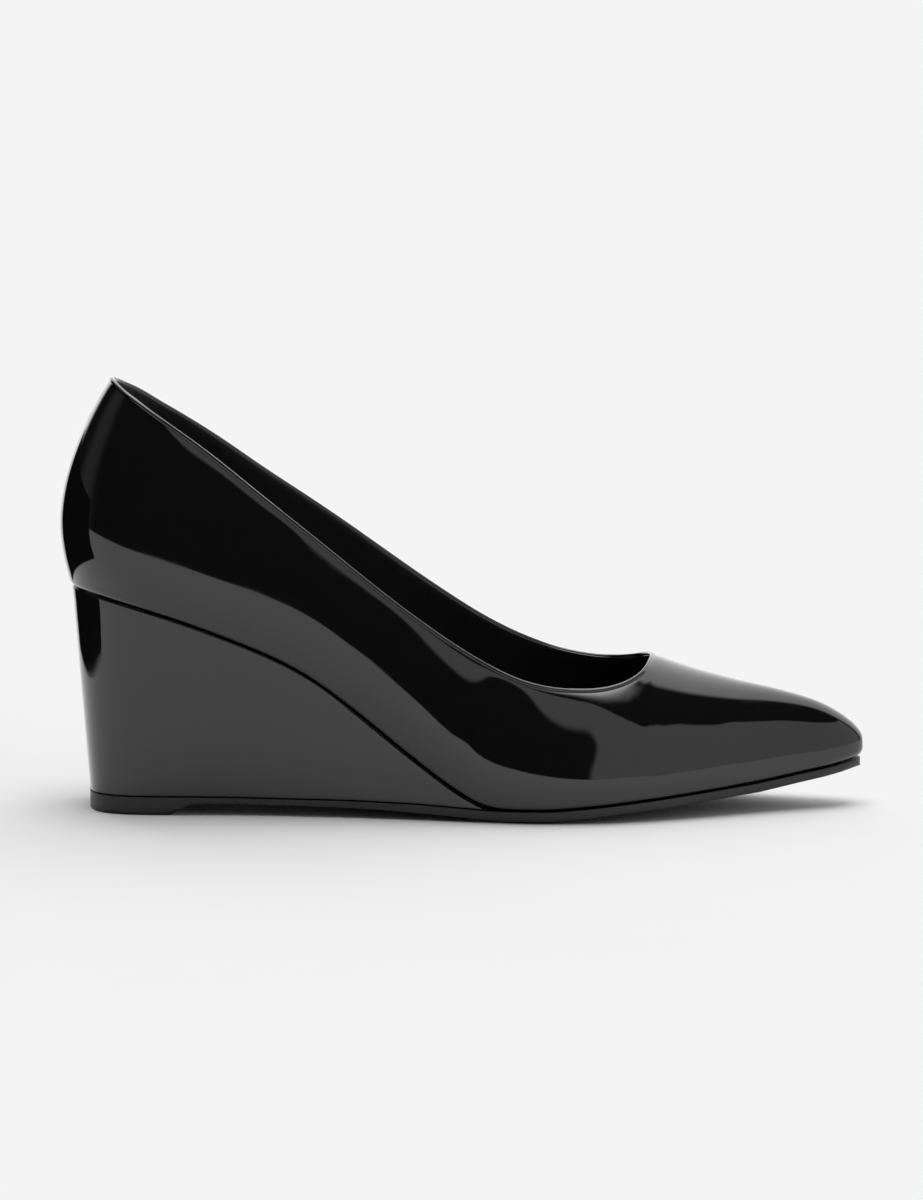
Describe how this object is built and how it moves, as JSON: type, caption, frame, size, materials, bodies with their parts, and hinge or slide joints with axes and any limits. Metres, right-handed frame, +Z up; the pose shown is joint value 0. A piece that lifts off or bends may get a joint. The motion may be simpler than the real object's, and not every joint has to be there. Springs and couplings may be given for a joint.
{
  "type": "wedge pump",
  "caption": "Right wedge pump in black patent leather, with a pointed toe, low cut topline, covered wedge heel and thin moulded outsole.",
  "frame": {"origin": "middle of the shoe's footprint, on the floor that it stands on", "axes": "+X towards the toe, +Y towards the inner side of the foot, +Z up"},
  "size_m": [0.245, 0.0774, 0.1316],
  "materials": {
    "patent_upper": "black patent leather, high gloss",
    "patent_wedge": "black patent leather covering, high gloss",
    "rubber_sole": "matte black moulded rubber",
    "sock_lining": "matte black lining leather"
  },
  "bodies": {
    "root": {"upper": "patent_upper", "wedge": "patent_wedge", "outsole": "rubber_sole", "insole": "sock_lining"}
  },
  "joints": []
}
